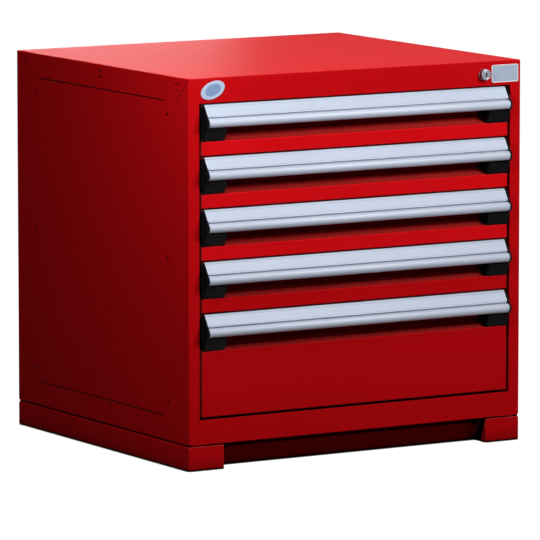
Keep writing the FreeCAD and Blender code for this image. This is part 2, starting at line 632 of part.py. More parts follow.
def lock_plug():
    """Turning cylinder with its key slot."""
    face = -LOCK_REACH + 0.6
    plug = rod(PLUG_RADIUS, (LOCK_X, face, LOCK_Z), (LOCK_X, LOCK_BACK, LOCK_Z))
    slot = box(LOCK_X - 0.9, LOCK_X + 0.9, face - 1, face + 8, LOCK_Z - 4.6, LOCK_Z + 4.6)
    step = box(LOCK_X - 1.8, LOCK_X + 0.9, face - 1, face + 8, LOCK_Z - 1.2, LOCK_Z + 1.2)
    return plug.cut([slot, step])


def lock_cam():
    """Cam on the plug's back end, with the pin that lifts the lock bar."""
    back = LOCK_BACK + 2
    x = LOCK_X + CAM_DROP
    z = LOCK_Z - CAM_DROP
    hub = rod(PLUG_RADIUS, (LOCK_X, LOCK_BACK, LOCK_Z), (LOCK_X, back, LOCK_Z))
    tip = rod(CAM_PIN + 1.5, (x, LOCK_BACK, z), (x, back, z))
    pin = rod(CAM_PIN, (x, LOCK_BACK, z), (x, BAR[3] + 1, z))
    return joined([hub, tip, pin])


def lock_bar(bottoms):
    """Sliding bar behind the right stile, with an arm to the cam and a hook for each drawer."""
    inner, outer, front, back, foot = BAR
    level = LOCK_Z - CAM_DROP
    slot_half = CAM_PIN + CAM_SLACK
    slot = (LOCK_X + CAM_DROP - 0.5, LOCK_X + CAM_RADIUS + 0.5)
    shapes = [box(inner, outer, front, back, foot, level + ARM_HALF_HEIGHT)]
    shapes.append(box(slot[0] - slot_half - 5, outer, front, back, level - ARM_HALF_HEIGHT,
                      level + ARM_HALF_HEIGHT))
    thickness = back - front
    for bottom in bottoms:
        z0 = bottom + HOOK_LIFT
        z1 = z0 + HOOK_HEIGHT
        shapes.append(box(inner, inner + thickness, front, HOOK_BACK, z0, z1))
        shapes.append(box(HOOK_TIP, inner + thickness, HOOK_BACK - thickness, HOOK_BACK, z0, z1))
    cuts = [box(slot[0], slot[1], front - 1, back + 1, level - slot_half, level + slot_half)]
    for x in slot:
        cuts.append(rod(slot_half, (x, front - 1, level), (x, back + 1, level)))
    return joined(shapes).cut(cuts)


def lock_bar_guides():
    """Brackets on the right side that hold the bar; the lowest one is its stop."""
    inner, outer, front, back, foot = BAR
    guides = []
    for z in GUIDE_ZS:
        bracket = box(inner + 4, INSIDE, front - 3, back + 3, z, z + 16)
        bracket = bracket.cut(box(inner, outer + 0.5, front - 0.5, back + 0.5, z - 1, z + 17))
        if z == foot:
            stop = box(inner + 4, INSIDE, front - 3, back + 3, z - 4, z)
            bracket = joined([bracket, stop])
        guides.append(bracket)
    return guides


def label_plate():
    x0, x1, z0, z1 = LABEL
    return rounded_box((x0, -0.6, z0), (x1, 0, z1), LABEL_CORNER,
                       lambda m: abs(m.y + 0.3) < 0.1)


def badge_plate():
    """Plain oval plate with a rounded front edge."""
    centre = V(BADGE_CENTRE[0], 0, BADGE_CENTRE[1])
    oval = Part.Ellipse(centre + V(BADGE_HALF_WIDTH, 0, 0), centre + V(0, 0, BADGE_HALF_HEIGHT), centre)
    plate = Part.Face(Part.Wire(oval.toShape())).extrude(V(0, -1.5, 0))
    rim = [edge for edge in plate.Edges if edge.CenterOfMass.y < -1.4]
    plate = plate.makeFillet(0.6, rim)
    plate.rotate(centre, V(0, -1, 0), BADGE_TILT)
    return plate


def write(name, shape):
    """Write one sub-part, a single solid or a list of separate ones, in the object's frame."""
    if isinstance(shape, list):
        shape = Part.makeCompound(shape)
    shape = shape.copy()
    shape.translate(V(0, (HANDLE_REACH - DEPTH) / 2, 0))
    for solid in shape.Solids:
        if not solid.isValid() or solid.Volume <= 0:
            raise ValueError(name + " holds a faulty solid")
    if not shape.Solids:
        raise ValueError(name + " holds no solid")
    print(name, len(shape.Solids), round(shape.Volume / 1000, 2))
    shape.exportStep("parts/" + name + ".step")


def drawer_levels():
    """Upper and lower edge of each drawer front, from the top drawer down."""
    levels = []
    top = FIRST_TOP
    for pitch in PITCHES:
        levels.append((top, top - pitch + GAP))
        top -= pitch
    return levels


def main():
    os.makedirs("parts", exist_ok=True)
    levels = drawer_levels()
    bottoms = [bottom for top, bottom in levels]

    write("top_panel", top_panel())
    write("front_frame", front_frame())
    left = side_panel()
    write("left_side_panel", left)
    write("right_side_panel", mirrored(left))
    write("floor_pan", floor_pan())
    write("back_panel", back_panel())
    write("corner_posts", corner_posts())
    write("fixed_rails", fixed_rails([bottom + RAIL_LIFT for bottom in bottoms]))

    left = skirt()
    write("base_left_skirt", left)
    write("base_right_skirt", mirrored(left))
    write("base_toe_panel", toe_panel())
    write("base_rear_panel", rear_panel())
    write("base_bolts", base_bolts())

    write("lock_housing", lock_housing())
    write("lock_plug", lock_plug())
    write("lock_cam", lock_cam())
    write("lock_bar", lock_bar(bottoms))
    write("lock_bar_guides", lock_bar_guides())
    write("label_plate", label_plate())
    write("badge_plate", badge_plate())

    for number, (top, bottom) in enumerate(levels, start=1):
        drawer = "drawer_%d_" % number
        write(drawer + "tray", drawer_tray(top, bottom))
        write(drawer + "front", drawer_front(top, bottom))
        write(drawer + "handle", handle(top))
        write(drawer + "label_strip", label_strip(top))
        write(drawer + "end_caps", both_sides(end_cap(top)))
        write(drawer + "rails", drawer_rails(bottom + RAIL_LIFT))
        write("carriage_%d_rails" % number, carriage_rails(bottom + RAIL_LIFT))
        write("carriage_%d_rollers" % number, carriage_rollers(bottom + RAIL_LIFT))


main()
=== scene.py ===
"""Steel drawer cabinet: finishes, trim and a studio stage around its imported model.

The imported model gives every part's place. This file gives the sheet steel, aluminium, plastic
and zinc their finishes, makes the finer trim, and sets the floor, the lamps and the camera.
"""

import json
import math

import bmesh
import bpy
from mathutils import Matrix, Vector


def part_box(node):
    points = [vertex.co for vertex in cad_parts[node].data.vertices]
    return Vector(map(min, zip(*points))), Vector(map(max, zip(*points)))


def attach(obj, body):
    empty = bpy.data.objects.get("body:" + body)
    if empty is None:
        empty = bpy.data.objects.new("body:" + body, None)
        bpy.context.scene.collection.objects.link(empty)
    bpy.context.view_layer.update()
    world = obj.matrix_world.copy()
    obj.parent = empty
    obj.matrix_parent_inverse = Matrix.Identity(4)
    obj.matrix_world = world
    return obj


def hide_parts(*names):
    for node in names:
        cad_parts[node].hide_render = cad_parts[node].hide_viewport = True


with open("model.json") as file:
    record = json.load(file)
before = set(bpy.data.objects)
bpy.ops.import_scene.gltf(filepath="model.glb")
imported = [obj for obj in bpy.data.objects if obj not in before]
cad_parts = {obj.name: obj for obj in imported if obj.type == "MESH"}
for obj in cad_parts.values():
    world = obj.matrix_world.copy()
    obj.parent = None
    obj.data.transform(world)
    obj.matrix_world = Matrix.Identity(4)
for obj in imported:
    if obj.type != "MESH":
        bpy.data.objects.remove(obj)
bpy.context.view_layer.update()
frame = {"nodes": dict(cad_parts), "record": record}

bl_info = {
    "name": "Steel Drawer Cabinet",
    "version": (1, 0, 0),
    "blender": (4, 5, 0),
    "location": "3D View > Sidebar > Cabinet",
    "description": "Finishes, trim and studio stage for a steel drawer cabinet",
    "category": "Object",
}

SLOT_OF = {part["node"]: part["material_slot"] for part in frame["record"]["subparts"]}
BODY_OF = {node: body for body, nodes in frame["record"]["behaviour"]["bodies"].items()
           for node in nodes}
DRAWERS = range(1, 6)
MM = 0.001
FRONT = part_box("front_frame")[0].y      # the plane of the front frame
COLOUR = dict(subtype="COLOR", size=3, min=0.0, max=1.0)


class CabinetColours(bpy.types.PropertyGroup):
    """Colours of the cabinet's finishes, in linear light."""

    powder_red: bpy.props.FloatVectorProperty(
        name="Powder coat", description="Colour of the powder-coated sheet steel",
        default=(0.62, 0.004, 0.007), **COLOUR)
    aluminium: bpy.props.FloatVectorProperty(
        name="Aluminium", description="Colour of the anodised handles",
        default=(0.58, 0.64, 0.76), **COLOUR)
    label: bpy.props.FloatVectorProperty(
        name="Label strip", description="Colour of the blank strips in the handles",
        default=(0.583, 0.665, 0.81), **COLOUR)
    plastic: bpy.props.FloatVectorProperty(
        name="End caps", description="Colour of the moulded end caps",
        default=(0.004, 0.004, 0.005), **COLOUR)
    zinc: bpy.props.FloatVectorProperty(
        name="Zinc", description="Colour of the plated slides and fasteners",
        default=(0.58, 0.60, 0.61), **COLOUR)
    chrome: bpy.props.FloatVectorProperty(
        name="Chrome", description="Colour of the lock",
        default=(0.26, 0.27, 0.32), **COLOUR)
    nylon: bpy.props.FloatVectorProperty(
        name="Rollers", description="Colour of the nylon rollers",
        default=(0.72, 0.70, 0.63), **COLOUR)
    badge: bpy.props.FloatVectorProperty(
        name="Badge", description="Colour of the bare oval plate",
        default=(0.50, 0.60, 0.82), **COLOUR)
    badge_field: bpy.props.FloatVectorProperty(
        name="Badge field", description="Colour of the oval plate's middle",
        default=(0.20, 0.33, 0.58), **COLOUR)
    label_border: bpy.props.FloatVectorProperty(
        name="Label border", description="Colour of the bare label plate's border",
        default=(0.85, 0.87, 0.90), **COLOUR)
    label_field: bpy.props.FloatVectorProperty(
        name="Label field", description="Colour of the bare label plate's field",
        default=(0.42, 0.50, 0.63), **COLOUR)


class CabinetTrim(bpy.types.PropertyGroup):
    """Sizes of the trim that this file makes, in metres."""

    edge_round: bpy.props.FloatProperty(
        name="Cap edges", description="Rounding of the end caps' edges",
        unit="LENGTH", min=0.0, default=0.0008)
    rivet_radius: bpy.props.FloatProperty(
        name="Rivet radius", description="Radius of the rivet heads",
        unit="LENGTH", min=0.001, default=0.0042)
    rivet_height: bpy.props.FloatProperty(
        name="Rivet height", description="Height of the rivet heads",
        unit="LENGTH", min=0.0002, default=0.0012)


class CabinetStage(bpy.types.PropertyGroup):
    """Lamps, floor and camera."""

    front_power: bpy.props.FloatProperty(
        name="Front lamp", description="Power of the lamp in front, in watts",
        min=0.0, default=24.6)
    side_power: bpy.props.FloatProperty(
        name="Side lamp", description="Power of the lamp at the left, in watts",
        min=0.0, default=9.0)
    top_power: bpy.props.FloatProperty(
        name="Top lamp", description="Power of the lamp overhead, in watts",
        min=0.0, default=26.3)
    back_power: bpy.props.FloatProperty(
        name="Back lamp", description="Power of the lamp behind the cabinet, in watts",
        min=0.0, default=16.0)
    ambient: bpy.props.FloatProperty(
        name="Ambient", description="Strength of the soft light from all round",
        min=0.0, default=0.0)
    floor_shade: bpy.props.FloatProperty(
        name="Floor", description="Lightness of the floor",
        subtype="FACTOR", min=0.0, max=1.0, default=0.12)
    lens: bpy.props.FloatProperty(
        name="Lens", description="Focal length in millimetres on a 36 mm sensor",
        min=1.0, default=383.82)


# Shader trees

def wire(tree, kind, inputs=None, **settings):
    """Add a node, set its properties and give its inputs values or links."""
    node = tree.nodes.new(kind)
    for name, value in settings.items():
        setattr(node, name, value)
    for key, value in (inputs or {}).items():
        if isinstance(value, bpy.types.NodeSocket):
            tree.links.new(value, node.inputs[key])
        else:
            node.inputs[key].default_value = value
    return node


def empty_tree(name, inputs, outputs, tree_kind="ShaderNodeTree"):
    """Empty node tree with named sockets; returns it, its input node and its output node."""
    tree = bpy.data.node_groups.new(name, tree_kind)
    for label, kind, value in inputs:
        socket = tree.interface.new_socket(label, in_out="INPUT", socket_type="NodeSocket" + kind)
        if value is not None:
            socket.default_value = value
    for label, kind in outputs:
        tree.interface.new_socket(label, in_out="OUTPUT", socket_type="NodeSocket" + kind)
    return tree, tree.nodes.new("NodeGroupInput"), tree.nodes.new("NodeGroupOutput")


def object_place(tree):
    """Sockets of a point's place in its object, by axis."""
    place = wire(tree, "ShaderNodeTexCoord").outputs["Object"]
    return wire(tree, "ShaderNodeSeparateXYZ", {0: place}).outputs


def give(tree, result, **sockets):
    """Link a tree's results to its outputs of those names."""
    for name, socket in sockets.items():
        tree.links.new(socket, result.inputs[name])


def soft_edges():
    """Normals rounded over the edges within a radius, and a mask of those edges for a painted highlight."""
    if "Soft Edges" in bpy.data.node_groups:
        return bpy.data.node_groups["Soft Edges"]
    tree, given, result = empty_tree("Soft Edges", [("Radius", "Float", 0.8 * MM)],
                                     [("Normal", "Vector"), ("Edge", "Float")])
    rounded = wire(tree, "ShaderNodeBevel", {"Radius": given.outputs["Radius"]}, samples=6)
    plain = wire(tree, "ShaderNodeNewGeometry")
    dot = wire(tree, "ShaderNodeVectorMath", {0: rounded.outputs["Normal"], 1: plain.outputs["Normal"]},
               operation="DOT_PRODUCT")
    mask = wire(tree, "ShaderNodeMapRange", {
        "Value": dot.outputs["Value"], "From Min": 0.995, "From Max": 0.82})
    give(tree, result, Normal=rounded.outputs["Normal"], Edge=mask.outputs["Result"])
    return tree


def mottle():
    """Slow, slight variation of a colour over the surface."""
    if "Mottle" in bpy.data.node_groups:
        return bpy.data.node_groups["Mottle"]
    tree, given, result = empty_tree(
        "Mottle",
        [("Color", "Color", (0.5, 0.5, 0.5, 1.0)), ("Scale", "Float", 6.0), ("Amount", "Float", 0.05)],
        [("Color", "Color"), ("Value", "Float")])
    place = wire(tree, "ShaderNodeTexCoord")
    noise = wire(tree, "ShaderNodeTexNoise", {
        "Vector": place.outputs["Object"], "Scale": given.outputs["Scale"], "Detail": 3.0, "Roughness": 0.55})
    low = wire(tree, "ShaderNodeMath", {0: 1.0, 1: given.outputs["Amount"]}, operation="SUBTRACT")
    high = wire(tree, "ShaderNodeMath", {0: 1.0, 1: given.outputs["Amount"]}, operation="ADD")
    gain = wire(tree, "ShaderNodeMapRange", {"Value": noise.outputs["Fac"], "From Min": 0.3, "From Max": 0.7,
                                             "To Min": low.outputs[0], "To Max": high.outputs[0]})
    tinted = wire(tree, "ShaderNodeVectorMath", {0: given.outputs["Color"], "Scale": gain.outputs["Result"]},
                  operation="SCALE")
    give(tree, result, Color=tinted.outputs["Vector"], Value=noise.outputs["Fac"])
    return tree


def recess_shade():
    """Painted shade: the colour darkened on surfaces close to others, from `Darkest` deep in a hollow to 1 in
    the open.
    """
    if "Recess Shade" in bpy.data.node_groups:
        return bpy.data.node_groups["Recess Shade"]
    tree, given, result = empty_tree(
        "Recess Shade", [("Distance", "Float", 0.05), ("Darkest", "Float", 1.0)], [("Value", "Float")])
    space = wire(tree, "ShaderNodeAmbientOcclusion", {"Distance": given.outputs["Distance"]}, samples=8)
    shade = wire(tree, "ShaderNodeMapRange", {"Value": space.outputs["AO"], "From Min": 0.25,
                                              "From Max": 0.85, "To Min": given.outputs["Darkest"]})
    give(tree, result, Value=shade.outputs["Result"])
    return tree


LEDGE_FOOT, LEDGE_HEAD = 1.0 * MM, 27.5 * MM    # depths of the ledge's ends behind a drawer front's face


def painted_front_light():
    """Painted light and shade of a drawer front by depth behind its face: the painted brightness `Face` on
    the face, a painted ramp of shade up the ledge, painted shade behind it; and a mask of the ledge for the
    painted reflection of the pale handle over it."""
    if "Painted Front Light" in bpy.data.node_groups:
        return bpy.data.node_groups["Painted Front Light"]
    tree, given, result = empty_tree("Painted Front Light", [("Plane", "Float", 0.0), ("Face", "Float", 1.0)],
                                     [("Value", "Float"), ("Ledge", "Float")])
    place = object_place(tree)
    depth = wire(tree, "ShaderNodeMath", {0: place["Y"], 1: given.outputs["Plane"]},
                 operation="SUBTRACT").outputs[0]
    ledge = wire(tree, "ShaderNodeMapRange", {"Value": depth, "From Min": LEDGE_FOOT, "From Max": LEDGE_HEAD,
                                              "To Min": 0.47, "To Max": 1.6})
    behind = wire(tree, "ShaderNodeMath", {0: depth, 1: LEDGE_HEAD + 0.2 * MM}, operation="GREATER_THAN")
    inner = wire(tree, "ShaderNodeMix", {0: behind.outputs[0], 2: ledge.outputs["Result"], 3: 0.55})
    ahead = wire(tree, "ShaderNodeMath", {0: depth, 1: LEDGE_FOOT}, operation="LESS_THAN")
    tone = wire(tree, "ShaderNodeMix", {0: ahead.outputs[0], 2: inner.outputs[0], 3: given.outputs["Face"]})
    flat = wire(tree, "ShaderNodeMath", {0: 1.0, 1: behind.outputs[0]}, operation="SUBTRACT")
    slope = wire(tree, "ShaderNodeMath", {0: flat.outputs[0], 1: ahead.outputs[0]}, operation="SUBTRACT",
                 use_clamp=True)
    give(tree, result, Value=tone.outputs[0], Ledge=slope.outputs[0])
    return tree


def painted_contact_shadow():
    """Painted contact shadow: a dark line along the edges that stand on the floor, from `Darkest` at the
    floor to 1 above it.
    """
    if "Painted Contact Shadow" in bpy.data.node_groups:
        return bpy.data.node_groups["Painted Contact Shadow"]
    tree, given, result = empty_tree("Painted Contact Shadow", [("Darkest", "Float", 0.1)], [("Value", "Float")])
    place = object_place(tree)
    shade = wire(tree, "ShaderNodeMapRange", {"Value": place["Z"], "From Min": 2.5 * MM,
                                              "From Max": 5.5 * MM, "To Min": given.outputs["Darkest"]})
    give(tree, result, Value=shade.outputs["Result"])
    return tree


def grain():
    """Fine relief whose grains can be stretched along an axis; gives a normal and its height."""
    if "Grain" in bpy.data.node_groups:
        return bpy.data.node_groups["Grain"]
    tree, given, result = empty_tree(
        "Grain", [("Scale", "Vector", (400.0, 400.0, 400.0)), ("Depth", "Float", 0.0001),
                  ("Strength", "Float", 0.2), ("Normal", "Vector", None)],
        [("Normal", "Vector"), ("Height", "Float")])
    place = wire(tree, "ShaderNodeTexCoord")
    stretched = wire(tree, "ShaderNodeVectorMath", {
        0: place.outputs["Object"], 1: given.outputs["Scale"]}, operation="MULTIPLY")
    noise = wire(tree, "ShaderNodeTexNoise", {"Vector": stretched.outputs["Vector"], "Scale": 1.0,
                                              "Detail": 2.0, "Roughness": 0.5})
    bump = wire(tree, "ShaderNodeBump", {
        "Strength": given.outputs["Strength"], "Distance": given.outputs["Depth"],
        "Height": noise.outputs["Fac"], "Normal": given.outputs["Normal"]})
    give(tree, result, Normal=bump.outputs["Normal"], Height=noise.outputs["Fac"])
    return tree


# Painted reflection: the pale handle mirrored in the ledge, painted into its colour.
LEDGE_REFLECTION_GREEN, LEDGE_REFLECTION_BLUE = 0.030, 0.027      # what the mirrored handle adds to the ledge's red


def effect(tree, group, **values):
    """Use a shader group in a tree, with its inputs set by name."""
    node = wire(tree, "ShaderNodeGroup", node_tree=group)
    for name, value in values.items():
        node.inputs[name].default_value = value
    return node


def finish_material(name, colour, metallic, roughness, spread, edge_radius, edge_light, mottle_scale,
                    mottle_amount, grain_scale, grain_depth, grain_strength, recess=None, bands=None,
                    foot=None, **plain):
    """Principled material from the shared effects. `edge_light` lays a painted highlight along the edges,
    `recess` is painted shade that darkens hollows down to its value, `bands` the painted light and shade
    of a drawer front, `foot` the painted contact shadow at the floor, and `plain` holds constants of the
    shader's own sockets."""
    material = bpy.data.materials.new(name)
    material.use_nodes = True
    tree = material.node_tree
    tree.nodes.clear()
    output = wire(tree, "ShaderNodeOutputMaterial")
    edges = effect(tree, soft_edges(), Radius=edge_radius)
    varied = effect(tree, mottle(), Color=(*colour, 1.0), Scale=mottle_scale, Amount=mottle_amount)
    relief = effect(tree, grain(), Scale=grain_scale, Depth=grain_depth, Strength=grain_strength)
    tree.links.new(edges.outputs["Normal"], relief.inputs["Normal"])
    # Painted highlight: the colour lightened towards white, laid along the edges by their mask.
    light = [min(1.0, c + (1.0 - c) * edge_light * (0.25 + 0.75 * c)) for c in colour]
    base = wire(tree, "ShaderNodeMix", {
        0: edges.outputs["Edge"], 6: varied.outputs["Color"], 7: (*light, 1.0)}, data_type="RGBA")
    colour_out = base.outputs[2]
    shades = []
    # Painted shade: darker where nearby surfaces close the surface in.
    if recess is not None:
        shades.append(effect(tree, recess_shade(), Darkest=recess))
    # Painted contact shadow: darker along the edges that stand on the floor.
    if foot is not None:
        shades.append(effect(tree, painted_contact_shadow(), Darkest=foot))
    if bands is not None:
        shades.append(effect(tree, painted_front_light(), Plane=FRONT, Face=bands))
        # Painted reflection of the handle, mixed into the ledge's colour.
        painted_reflection = wire(tree, "ShaderNodeMix", {
            0: shades[-1].outputs["Ledge"], 6: colour_out,
            7: (colour[0], LEDGE_REFLECTION_GREEN, LEDGE_REFLECTION_BLUE, 1.0)}, data_type="RGBA")
        colour_out = painted_reflection.outputs[2]
    for shade in shades:
        colour_out = wire(tree, "ShaderNodeVectorMath", {0: colour_out, "Scale": shade.outputs["Value"]},
                          operation="SCALE").outputs["Vector"]
    shine = wire(tree, "ShaderNodeMapRange", {"Value": relief.outputs["Height"], "From Min": 0.3,
                                              "From Max": 0.7, "To Min": roughness - spread,
                                              "To Max": roughness + spread})
    shader = wire(tree, "ShaderNodeBsdfPrincipled", {
        "Base Color": colour_out, "Metallic": metallic, "Roughness": shine.outputs["Result"],
        "Normal": relief.outputs["Normal"]})
    for socket, value in plain.items():
        shader.inputs[socket.replace("_", " ")].default_value = value
    tree.links.new(shader.outputs["BSDF"], output.inputs["Surface"])
    return material


def material_for(slot):
    """The cabinet's finish for one of the record's material slots, made at its first use."""
    if slot in bpy.data.materials and bpy.data.materials[slot].get("cabinet_finish"):
        return bpy.data.materials[slot]
    colours = bpy.context.scene.cabinet_colours
    red = dict(colour=colours.powder_red, metallic=0.0, roughness=0.42, spread=0.04, edge_radius=1.2 * MM,
               edge_light=0.05, mottle_scale=5.0, mottle_amount=0.02, grain_scale=(420, 420, 420),
               grain_depth=0.10 * MM, grain_strength=0.18, Specular_IOR_Level=0.003)
    # Folded fronts and base parts carry a stronger painted highlight along their bends.
    folded = dict(red, edge_radius=2.2 * MM, edge_light=0.25)
    fine = dict(grain_scale=(900, 900, 900), grain_depth=0.02 * MM, grain_strength=0.05)
    card = dict(metallic=0.0, roughness=0.38, spread=0.03, edge_radius=0.2 * MM, edge_light=0.3,
                mottle_scale=14.0, mottle_amount=0.02, grain_scale=(700, 700, 700), grain_depth=0.02 * MM,
                grain_strength=0.1)
    domed = dict(fine, metallic=0.0, roughness=0.22, spread=0.03, edge_radius=0.3 * MM, edge_light=0.3,
                 mottle_scale=60.0, mottle_amount=0.03, Coat_Weight=0.6, Coat_Roughness=0.08)
    recipes = {
        # Powder coat with painted shade in its hollows; the toe panel's copy is darkened less.
        "red_powder_coat": dict(red, recess=0.35),
        # Drawer fronts: painted light on the face, painted shade up the ledge and behind it.
        "red_front_painted_light": dict(folded, bands=1.27),
        "red_front_painted_shade": dict(folded, bands=1.0),
        # Base parts: painted contact shadow at the floor and painted shade in hollows.
        "red_base": dict(folded, recess=0.35, foot=0.12),
        "red_toe_panel": dict(folded, recess=0.6, foot=0.12),
        # Painted shadow: a very dark red laid over slits, holes and gaps.
        "painted_seam_shadow": dict(red, colour=tuple(c * 0.08 for c in colours.powder_red)),
        "aluminium": dict(
            colour=colours.aluminium, metallic=0.10, roughness=0.50, spread=0.05, edge_radius=0.5 * MM,
            edge_light=0.3, mottle_scale=8.0, mottle_amount=0.02, grain_scale=(25, 2600, 2600),
            grain_depth=0.05 * MM, grain_strength=0.25),
        # Painted highlight: a lighter copy of the aluminium for the label frames' ends.
        "aluminium_painted_highlight": dict(
            fine, colour=tuple(min(1.0, c * 1.35) for c in colours.aluminium), metallic=0.0, roughness=0.5,
            spread=0.03, edge_radius=0.3 * MM, edge_light=0.1, mottle_scale=8.0, mottle_amount=0.01),
        # Painted shade: near black for the deep key slot.
        "keyway_painted_shade": dict(
            fine, colour=(0.002, 0.002, 0.002), metallic=0.0, roughness=0.6, spread=0.03,
            edge_radius=0.1 * MM, edge_light=0.0, mottle_scale=8.0, mottle_amount=0.0,
            Specular_IOR_Level=0.05),
        "black_plastic": dict(
            colour=colours.plastic, metallic=0.0, roughness=0.45, spread=0.06, edge_radius=0.8 * MM,
            edge_light=0.06, mottle_scale=20.0, mottle_amount=0.08, grain_scale=(1800, 1800, 1800),
            grain_depth=0.08 * MM, grain_strength=0.35, Specular_IOR_Level=0.04),
        "zinc_steel": dict(
            colour=colours.zinc, metallic=1.0, roughness=0.38, spread=0.10, edge_radius=0.3 * MM,
            edge_light=0.3, mottle_scale=60.0, mottle_amount=0.10, grain_scale=(300, 60, 300),
            grain_depth=0.05 * MM, grain_strength=0.15),
        "lock_chrome": dict(
            fine, colour=colours.chrome, metallic=1.0, roughness=0.28, spread=0.03, edge_radius=0.3 * MM,
            edge_light=0.3, mottle_scale=80.0, mottle_amount=0.02),
        "label_card": dict(card, colour=colours.label, Specular_IOR_Level=0.3),
        "label_border": dict(card, colour=colours.label_border),
        "label_field": dict(card, colour=colours.label_field),
        "badge": dict(domed, colour=colours.badge),
        "badge_field": dict(domed, colour=colours.badge_field),
        "roller_nylon": dict(
            colour=colours.nylon, metallic=0.0, roughness=0.45, spread=0.05, edge_radius=0.4 * MM,
            edge_light=0.3, mottle_scale=60.0, mottle_amount=0.04, grain_scale=(900, 900, 900),
            grain_depth=0.03 * MM, grain_strength=0.15, Subsurface_Weight=0.1, Subsurface_Scale=2 * MM),
    }
    material = finish_material(slot, **recipes[slot])
    material["cabinet_finish"] = True
    return material


def finish_node(node, finish):
    """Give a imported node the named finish."""
    for held in frame["nodes"][node].material_slots:
        held.material = material_for(finish)


def finish_slots(*slots):
    """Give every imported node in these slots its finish."""
    for node, slot in SLOT_OF.items():
        if slot in slots:
            finish_node(node, slot)


# Meshes

def placed(y, z):
    """Point of the cabinet's cross-section, from millimetres behind its front plane and above the floor."""
    return FRONT + y * MM, z * MM


def piece(name, mesh, body, slot, replaced=(), materials=None):
    """Put a finished mesh on its body with its finish."""
    if not mesh.materials:
        for material in materials or [material_for(slot)]:
            mesh.materials.append(material)
    made = bpy.data.objects.new(name, mesh)
    bpy.context.scene.collection.objects.link(made)
    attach(made, body)
    if replaced:
        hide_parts(*replaced)
    return made


def settled(mesh, modify):
    """Mesh after the modifiers that `modify` puts on an object that holds it."""
    holder = bpy.data.objects.new("holder", mesh)
    bpy.context.scene.collection.objects.link(holder)
    modify(holder)
    graph = bpy.context.evaluated_depsgraph_get()
    result = bpy.data.meshes.new_from_object(holder.evaluated_get(graph))
    bpy.data.objects.remove(holder)
    return result


def grown(mesh, tree, **values):
    """Mesh that a geometry tree makes of the given mesh, with its inputs set by name."""
    def modify(holder):
        modifier = holder.modifiers.new("shape", "NODES")
        modifier.node_group = tree
        for item in tree.interface.items_tree:
            if item.in_out == "INPUT" and item.name in values:
                modifier[item.identifier] = values[item.name]
    return settled(mesh, modify)


def smooth(mesh, angle):
    """The mesh, shaded smooth with sharp edges above the angle in degrees."""
    mesh.shade_smooth()
    mesh.set_sharp_from_angle(angle=math.radians(angle))
    return mesh


def mesh_of(name, shape):
    """Mesh from a bmesh, which is freed."""
    mesh = bpy.data.meshes.new(name)
    shape.to_mesh(mesh)
    shape.free()
    return mesh


def rounded(mesh, width, segments=2, angle=35):
    """Mesh with its sharp edges bevelled and shaded smooth between them."""
    def modify(holder):
        bevel = holder.modifiers.new("edges", "BEVEL")
        bevel.width = width
        bevel.segments = segments
        bevel.limit_method = "ANGLE"
        bevel.angle_limit = math.radians(angle)
        bevel.harden_normals = False
    return smooth(settled(mesh, modify), angle)


def packed_copy(node):
    """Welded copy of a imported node's mesh, its flat areas joined into single faces."""
    shape = bmesh.new()
    shape.from_mesh(frame["nodes"][node].data)
    bmesh.ops.remove_doubles(shape, verts=shape.verts, dist=0.01 * MM)
    bmesh.ops.dissolve_limit(shape, angle_limit=math.radians(0.6), verts=shape.verts, edges=shape.edges)
    return mesh_of(node + "_copy", shape)


def joined(name, meshes):
    """One mesh of several, with their materials."""
    shape = bmesh.new()
    materials = []
    for mesh in meshes:
        begin = len(shape.faces)
        shape.from_mesh(mesh)
        shape.faces.ensure_lookup_table()
        for face in shape.faces[begin:]:
            material = mesh.materials[face.material_index]
            if material not in materials:
                materials.append(material)
            face.material_index = materials.index(material)
    result = mesh_of(name, shape)
    for material in materials:
        result.materials.append(material)
    return result


def outline_mesh(name, outlines, x):
    """Flat faces across the x axis from outlines of (y, z) points."""
    mesh = bpy.data.meshes.new(name)
    points, faces = [], []
    for outline in outlines:
        faces.append(range(len(points), len(points) + len(outline)))
        points += [(x, y, z) for y, z in outline]
    mesh.from_pydata(points, [], faces)
    shape = bmesh.new()
    shape.from_mesh(mesh)
    for face in shape.faces:
        if face.normal.x > 0:
            face.normal_flip()
    shape.to_mesh(mesh)
    shape.free()
    return mesh


def turned(name, profile, centre, sides=64):
    """Closed shape turned about the y axis through `centre`, from a profile of (radius, y) points."""
    x0, z0 = centre
    shape = bmesh.new()
    rings = []
    for radius, y in profile:
        rings.append([shape.verts.new((x0 + radius * math.cos(math.tau * k / sides), y,
                                       z0 + radius * math.sin(math.tau * k / sides))) for k in range(sides)])
    for a, b in zip(rings, rings[1:] + rings[:1]):
        for k in range(sides):
            shape.faces.new((a[k], a[(k + 1) % sides], b[(k + 1) % sides], b[k]))
    bmesh.ops.recalc_face_normals(shape, faces=shape.faces)
    return smooth(mesh_of(name, shape), 35)


# Geometry trees

def geometry_tree(name, inputs):
    """Empty geometry tree with a geometry in and out and named inputs."""
    return empty_tree(name, [("Geometry", "Geometry", None), *inputs], [("Geometry", "Geometry")],
                      "GeometryNodeTree")


def close_tree(tree, given, result, geometry):
    """End a geometry tree in plain geometry with its material."""
    plain = wire(tree, "GeometryNodeRealizeInstances", {"Geometry": geometry})
    painted = wire(tree, "GeometryNodeSetMaterial", {"Geometry": plain.outputs["Geometry"],
                                                     "Material": given.outputs["Material"]})
    give(tree, result, Geometry=painted.outputs["Geometry"])
    return tree


